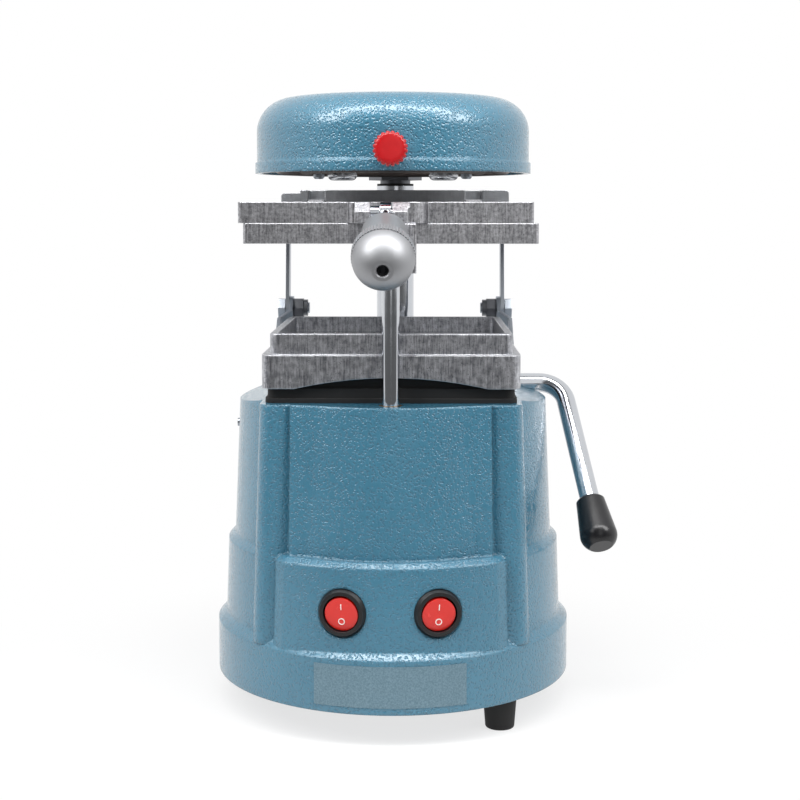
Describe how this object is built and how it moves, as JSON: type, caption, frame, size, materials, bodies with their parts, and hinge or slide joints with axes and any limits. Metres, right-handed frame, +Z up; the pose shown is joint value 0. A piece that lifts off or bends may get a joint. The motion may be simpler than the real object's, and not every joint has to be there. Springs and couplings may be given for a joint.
{
  "type": "dental vacuum former",
  "caption": "Bench-top vacuum forming machine: round cast base, square tray, hinged sheet frames on a column, swivelling heater hood and a side lever.",
  "frame": {"origin": "centre of the circle through the three feet, on the bench, under the middle of the round base", "axes": "+Z up; the switches and the clamp knob face -Y; the column is at +Y and the lever at +X"},
  "size_m": [0.202, 0.2389, 0.3075],
  "materials": {
    "blue_enamel": "gloss hammer-tone enamel",
    "cast_aluminium": "as cast, brushed",
    "turned_aluminium": "satin turned",
    "chrome_steel": "polished",
    "zinc_steel": "zinc plated",
    "dark_steel": "grey, satin",
    "black_rubber": "matt",
    "black_plastic": "semi-gloss",
    "red_plastic": "gloss",
    "clear_label": "translucent film",
    "bronze": "plain",
    "ceramic": "unglazed",
    "heater_metal": "oxidised",
    "bright_sheet": "bright"
  },
  "bodies": {
    "base": {"housing": "blue_enamel", "rating_label": "clear_label", "feet": "black_rubber", "side_screw": "zinc_steel", "base_plate": "dark_steel", "base_screws": "zinc_steel", "heat_switch_body": "black_plastic", "vacuum_switch_body": "black_plastic", "gasket_pad": "black_rubber", "tray": "cast_aluminium", "perforated_plate": "bright_sheet", "column": "chrome_steel", "column_bolt": "zinc_steel", "rod_bush": "bronze", "hood_collar": "dark_steel", "collar_ring": "black_plastic", "spindle_nut": "zinc_steel", "cord_gland": "black_plastic", "fuse_holder": "black_plastic", "terminal_block": "clear_label", "motor_seal": "black_rubber", "motor_case": "bright_sheet", "motor_clamp": "zinc_steel", "motor_stator": "dark_steel"},
    "carriage": {"lower_frame": "cast_aluminium", "crosshead": "dark_steel", "crosshead_bush": "bronze", "crosshead_screws": "zinc_steel", "hinge_pins": "zinc_steel", "front_rod": "chrome_steel", "frame_seal": "black_rubber"},
    "upper": {"upper_frame": "cast_aluminium", "clamp_pin": "zinc_steel", "clamp_spacer": "dark_steel"},
    "bolt": {"swing_bolt": "zinc_steel"},
    "washer": {"clamp_washer": "turned_aluminium"},
    "knob": {"clamp_knob": "turned_aluminium"},
    "crank": {"lever_shaft": "chrome_steel", "lever_grip": "black_plastic", "crank_arm_left": "zinc_steel", "crank_arm_right": "zinc_steel", "crank_bolts": "zinc_steel", "crank_nuts": "dark_steel"},
    "left_link": {"link_left": "zinc_steel", "link_pin_left": "zinc_steel"},
    "right_link": {"link_right": "zinc_steel", "link_pin_right": "zinc_steel"},
    "hood": {"hood_shell": "blue_enamel", "hood_knob": "red_plastic", "knob_stud": "zinc_steel", "hood_arm": "blue_enamel", "reflector": "bright_sheet", "heater_bosses": "ceramic", "heater_element": "heater_metal", "hood_screws": "zinc_steel"},
    "heat_switch": {"heat_rocker": "red_plastic"},
    "vacuum_switch": {"vacuum_rocker": "red_plastic"},
    "rotor": {"motor_rotor": "bright_sheet"}
  },
  "joints": [
    {"name": "carriage_slide", "type": "slide", "parent": "base", "child": "carriage", "axis": [0, 0, -1], "range_m": [0, 0.0525]},
    {"name": "lever_turn", "type": "hinge", "parent": "base", "child": "crank", "pos_m": [0, 0.027, 0.1575], "axis": [-1, 0, 0], "range_deg": [0, 56.76]},
    {"name": "left_link_pivot", "type": "hinge", "parent": "crank", "child": "left_link", "pos_m": [-0.06, 0.07, 0.1945], "axis": [1, 0, 0], "range_deg": [0, 70.26]},
    {"name": "right_link_pivot", "type": "hinge", "parent": "crank", "child": "right_link", "pos_m": [0.06, 0.07, 0.1945], "axis": [1, 0, 0], "range_deg": [0, 70.26]},
    {"name": "frame_open", "type": "hinge", "parent": "carriage", "child": "upper", "pos_m": [0, 0.0765, 0.25], "axis": [-1, 0, 0], "range_deg": [0, 5]},
    {"name": "bolt_swing", "type": "hinge", "parent": "upper", "child": "bolt", "pos_m": [-0.0023, -0.0715, 0.248], "axis": [-1, 0, 0], "range_deg": [0, 40]},
    {"name": "knob_travel", "type": "slide", "parent": "bolt", "child": "washer", "axis": [0, -0.9272, -0.3746], "range_m": [0, 0.003]},
    {"name": "knob_turn", "type": "hinge", "parent": "washer", "child": "knob", "pos_m": [-0.0023, -0.09283, 0.23938], "axis": [0, -0.9272, -0.3746], "range_deg": [0, 1080.1]},
    {"name": "hood_swivel", "type": "hinge", "parent": "base", "child": "hood", "pos_m": [0, 0.086, 0.2695], "axis": [0, 0, 1], "range_deg": [-90, 90]},
    {"name": "heat_rock", "type": "hinge", "parent": "base", "child": "heat_switch", "pos_m": [-0.02208, -0.0822, 0.0625], "axis": [-0.9746, 0.224, 0], "range_deg": [0, 18]},
    {"name": "vacuum_rock", "type": "hinge", "parent": "base", "child": "vacuum_switch", "pos_m": [0.02208, -0.0822, 0.0625], "axis": [-0.9746, -0.224, 0], "range_deg": [0, 18]},
    {"name": "rotor_spin", "type": "hinge", "parent": "base", "child": "rotor", "pos_m": [0, 0, 0.1035], "axis": [0, 0, 1], "continuous": true}
  ],
  "couplings": [
    {"joint": "lever_turn", "follows": "carriage_slide", "rad_per_m": 18.866},
    {"joint": "left_link_pivot", "follows": "carriage_slide", "rad_per_m": 23.354},
    {"joint": "right_link_pivot", "follows": "carriage_slide", "rad_per_m": 23.354},
    {"joint": "knob_turn", "follows": "knob_travel", "rad_per_m": 6283.2}
  ]
}
